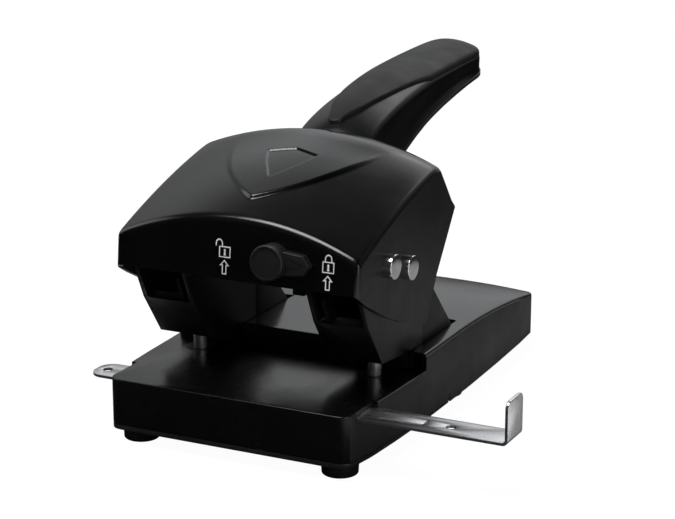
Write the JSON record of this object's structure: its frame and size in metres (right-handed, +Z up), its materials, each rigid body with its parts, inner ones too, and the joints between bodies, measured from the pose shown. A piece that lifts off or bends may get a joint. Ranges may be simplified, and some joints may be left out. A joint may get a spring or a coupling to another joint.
{
  "type": "two-hole lever punch",
  "caption": "Heavy desk hole punch: a hooded handle works a pair of sprung pins over a table with a sliding paper guide, a lock knob and a hinged chip tray.",
  "frame": {"origin": "on the desk, midway between the two punch axes", "axes": "+Y to the rear, along the handle; +X to the right, where the paper guide stands out; +Z up"},
  "size_m": [0.182, 0.2296, 0.1336],
  "materials": {
    "base_enamel": "gloss",
    "frame_enamel": "satin",
    "cover_black": "gloss",
    "hood_black": "gloss",
    "handle_black": "gloss",
    "grip_black": "satin",
    "knob_black": "satin",
    "plate_black": "satin",
    "tray_black": "satin",
    "rubber": "matte",
    "nickel": "bright",
    "polished_steel": "polished",
    "tool_steel": "ground",
    "spring_steel": "satin",
    "dark_steel": "phosphated"
  },
  "bodies": {
    "base": {"base_shell": "base_enamel", "rear_cover": "cover_black", "bottom_plate": "plate_black", "cover_bolts": "dark_steel", "left_punch_frame": "frame_enamel", "right_punch_frame": "frame_enamel", "left_gusset": "frame_enamel", "right_gusset": "frame_enamel", "frame_bolts": "dark_steel", "gusset_bolts": "dark_steel", "tie_bar": "dark_steel", "lock_catch": "dark_steel", "left_die_bush": "tool_steel", "right_die_bush": "tool_steel", "left_guide_bush": "tool_steel", "right_guide_bush": "tool_steel", "left_return_spring": "spring_steel", "right_return_spring": "spring_steel", "guide_channel": "plate_black", "guide_screws": "dark_steel", "tray_hinge_pins": "dark_steel", "middle_left_foot": "rubber", "middle_right_foot": "rubber", "rear_left_foot": "rubber", "rear_right_foot": "rubber"},
    "lever": {"hood_shell": "hood_black", "handle_shell": "handle_black", "handle_underside": "plate_black", "grip_pad": "grip_black", "lever_channel": "dark_steel", "handle_screws": "dark_steel", "fulcrum_shaft": "polished_steel", "fulcrum_end_cap": "polished_steel", "fulcrum_spacers": "dark_steel", "drive_shaft": "polished_steel", "drive_end_cap": "polished_steel"},
    "knob": {"lock_knob": "knob_black", "knob_spindle": "dark_steel", "lock_cam": "dark_steel", "cam_screw": "dark_steel"},
    "left_punch": {"left_punch_pin": "tool_steel", "left_punch_head": "dark_steel", "left_spring_seat": "dark_steel"},
    "right_punch": {"right_punch_pin": "tool_steel", "right_punch_head": "dark_steel", "right_spring_seat": "dark_steel"},
    "guide": {"paper_guide": "nickel"},
    "tray": {"chip_tray": "tray_black", "front_left_foot": "rubber", "front_right_foot": "rubber"}
  },
  "joints": [
    {"name": "handle_lift", "type": "hinge", "parent": "base", "child": "lever", "pos_m": [0, -0.0167, 0.078], "axis": [1, 0, 0], "range_deg": [0, 30]},
    {"name": "left_punch_stroke", "type": "slide", "parent": "base", "child": "left_punch", "axis": [0, 0, 1], "range_m": [0, 0.00883], "deforming": ["left_return_spring"]},
    {"name": "right_punch_stroke", "type": "slide", "parent": "base", "child": "right_punch", "axis": [0, 0, 1], "range_m": [0, 0.00883], "deforming": ["right_return_spring"]},
    {"name": "knob_turn", "type": "hinge", "parent": "lever", "child": "knob", "pos_m": [0.0175, -0.04175, 0.082], "axis": [0, -0.9943, 0.1063], "range_deg": [0, 180]},
    {"name": "guide_slide", "type": "slide", "parent": "base", "child": "guide", "axis": [1, 0, 0], "range_m": [-0.055, 0.0347]},
    {"name": "tray_open", "type": "hinge", "parent": "base", "child": "tray", "pos_m": [0, 0.037, 0.0082], "axis": [1, 0, 0], "range_deg": [0, 35]}
  ],
  "couplings": [
    {"joint": "left_punch_stroke", "follows": "handle_lift", "m_per_rad": 0.016838},
    {"joint": "right_punch_stroke", "follows": "handle_lift", "m_per_rad": 0.016838}
  ]
}
